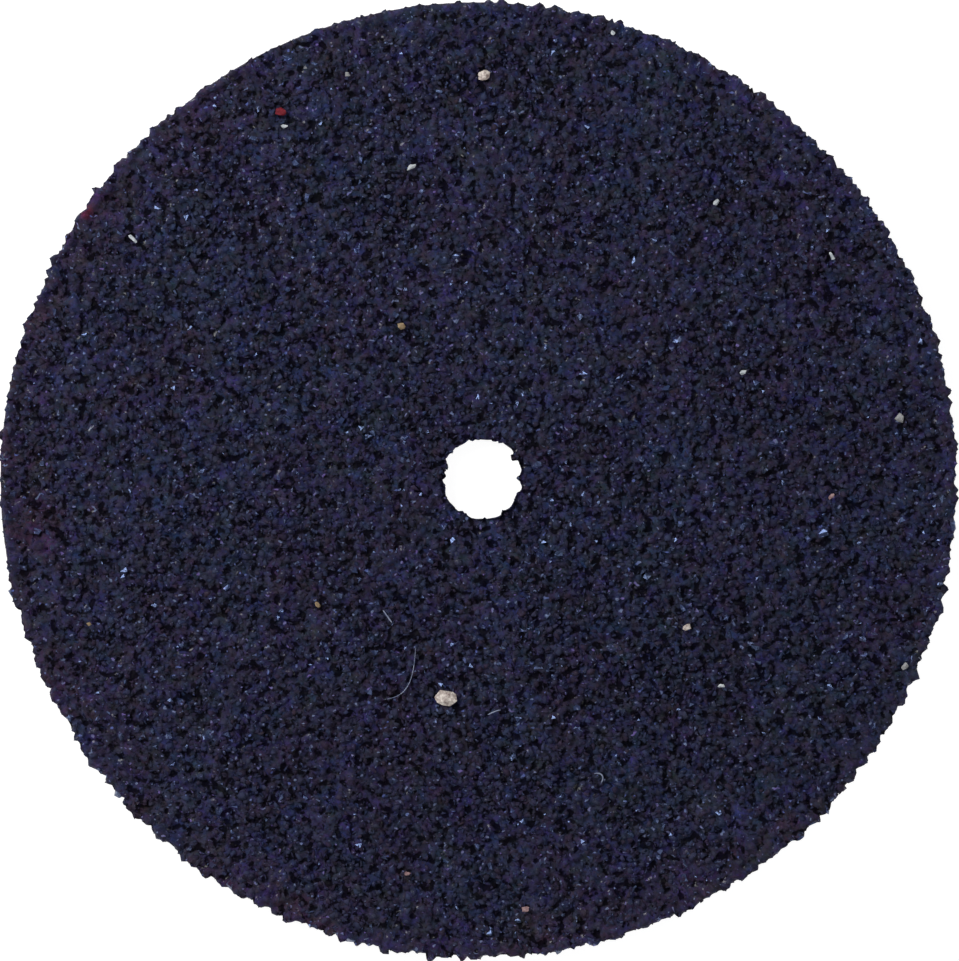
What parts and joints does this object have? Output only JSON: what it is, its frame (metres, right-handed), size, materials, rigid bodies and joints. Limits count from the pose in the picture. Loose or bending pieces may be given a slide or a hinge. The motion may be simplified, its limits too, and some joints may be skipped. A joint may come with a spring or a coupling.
{
  "type": "abrasive carving disc",
  "caption": "Flat round coated-abrasive disc with a small plain centre bore: a stiff backing, an adhesive make coat, a layer of abrasive grain and a resin size coat over it.",
  "frame": {"origin": "middle of the disc's rim, on the backing's free face", "axes": "+Z along the disc's axis, from the backing towards the grit; the bore sits 0.08 mm off the rim's middle, mostly towards +X"},
  "size_m": [0.019, 0.019, 0.0005],
  "materials": {
    "backing": "resin-saturated heavy paper, fibrous, matte, dark purplish brown",
    "make_coat": "cured phenolic adhesive, dark violet, seen only as a thin line at the rim and bore",
    "grain": "sharp blue-black abrasive crystals with glinting facets",
    "size_coat": "dark navy cured resin, satin, pitted between the grains"
  },
  "bodies": {
    "root": {"backing_disc": "backing", "make_coat": "make_coat", "abrasive_grain": "grain", "size_coat": "size_coat"}
  },
  "joints": []
}
